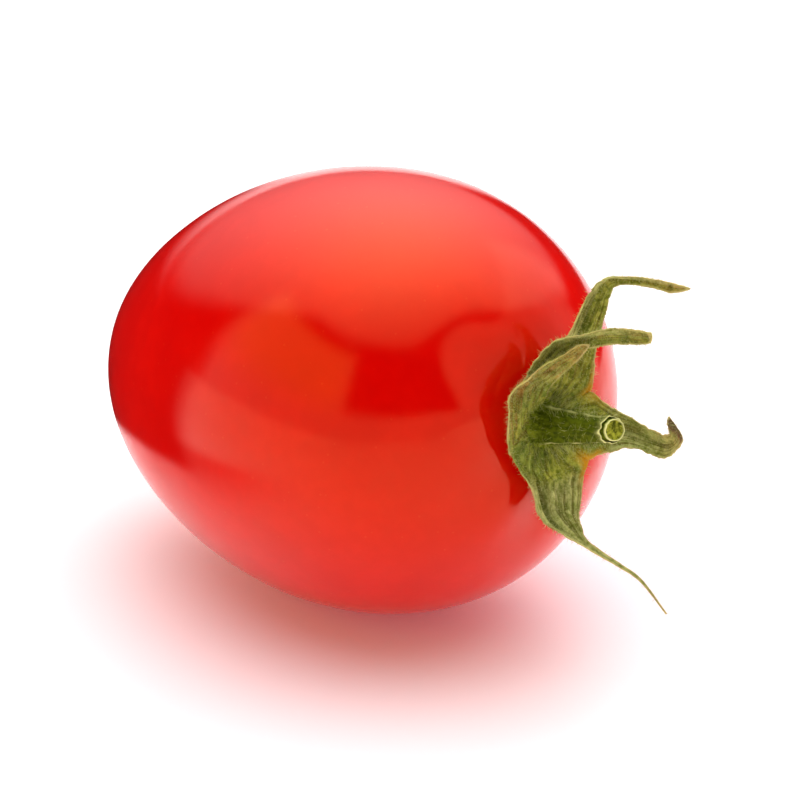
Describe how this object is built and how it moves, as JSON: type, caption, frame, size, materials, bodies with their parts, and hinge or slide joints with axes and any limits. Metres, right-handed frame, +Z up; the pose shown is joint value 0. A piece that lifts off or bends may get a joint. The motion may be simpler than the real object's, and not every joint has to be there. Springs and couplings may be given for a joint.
{
  "type": "plum tomato",
  "caption": "Ripe egg-shaped tomato lying on a small flat spot, with its dried calyx of curling sepals and a cut stub of stem.",
  "frame": {"origin": "middle of the flat spot that the fruit lies on, on the surface below it", "axes": "+Z up; +X towards the stem end as seen from above; the fruit's long axis rises 10 degrees from +X towards the stem"},
  "size_m": [0.0507, 0.032, 0.0319],
  "materials": {
    "fruit_skin": "smooth ripe red skin with a soft natural gloss",
    "calyx_cup": "dark green, matt and finely hairy",
    "stem": "dark green, matt and hairy, pale where it is cut",
    "sepal": "dry grey-green leaf, matt, wrinkled lengthwise and finely hairy, with pale margins"
  },
  "bodies": {
    "root": {"fruit": "fruit_skin", "calyx_cup": "calyx_cup", "stem": "stem", "sepal_upper": "sepal", "sepal_side": "sepal", "sepal_folded": "sepal", "sepal_tailed": "sepal", "sepal_curled": "sepal"}
  },
  "joints": []
}
